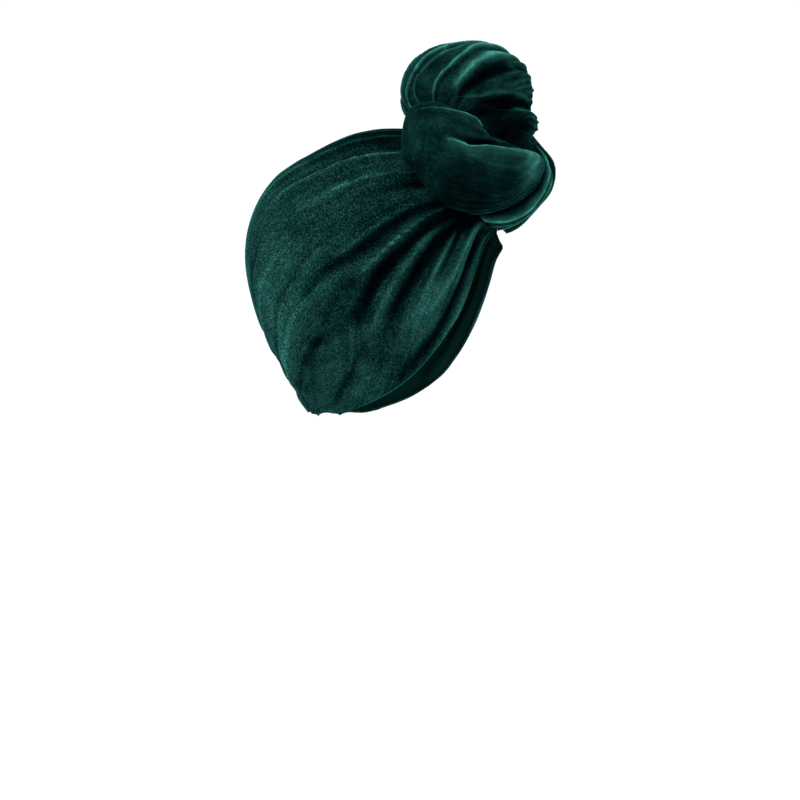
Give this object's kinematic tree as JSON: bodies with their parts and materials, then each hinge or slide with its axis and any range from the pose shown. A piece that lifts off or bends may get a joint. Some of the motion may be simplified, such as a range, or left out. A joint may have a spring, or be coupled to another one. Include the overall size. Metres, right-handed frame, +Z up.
{
  "type": "knotted velvet turban headwrap",
  "caption": "Pleated velvet cap, open below for the head, with folds fanning from a large wound knot over the brow.",
  "frame": {"origin": "inner crown point of the cap on its middle line, where a head carries it", "axes": "+Z up as worn, -Y the way the wearer faces, -X the wearer's right, where the wide band crosses the knot"},
  "size_m": [0.1581, 0.2308, 0.285],
  "materials": {
    "velvet": "dark green crushed velvet pile"
  },
  "bodies": {
    "root": {"head_cap": "velvet", "knot_bun": "velvet", "knot_band": "velvet", "knot_under_wrap": "velvet", "knot_back_wrap": "velvet", "knot_lip_roll": "velvet"}
  },
  "joints": []
}
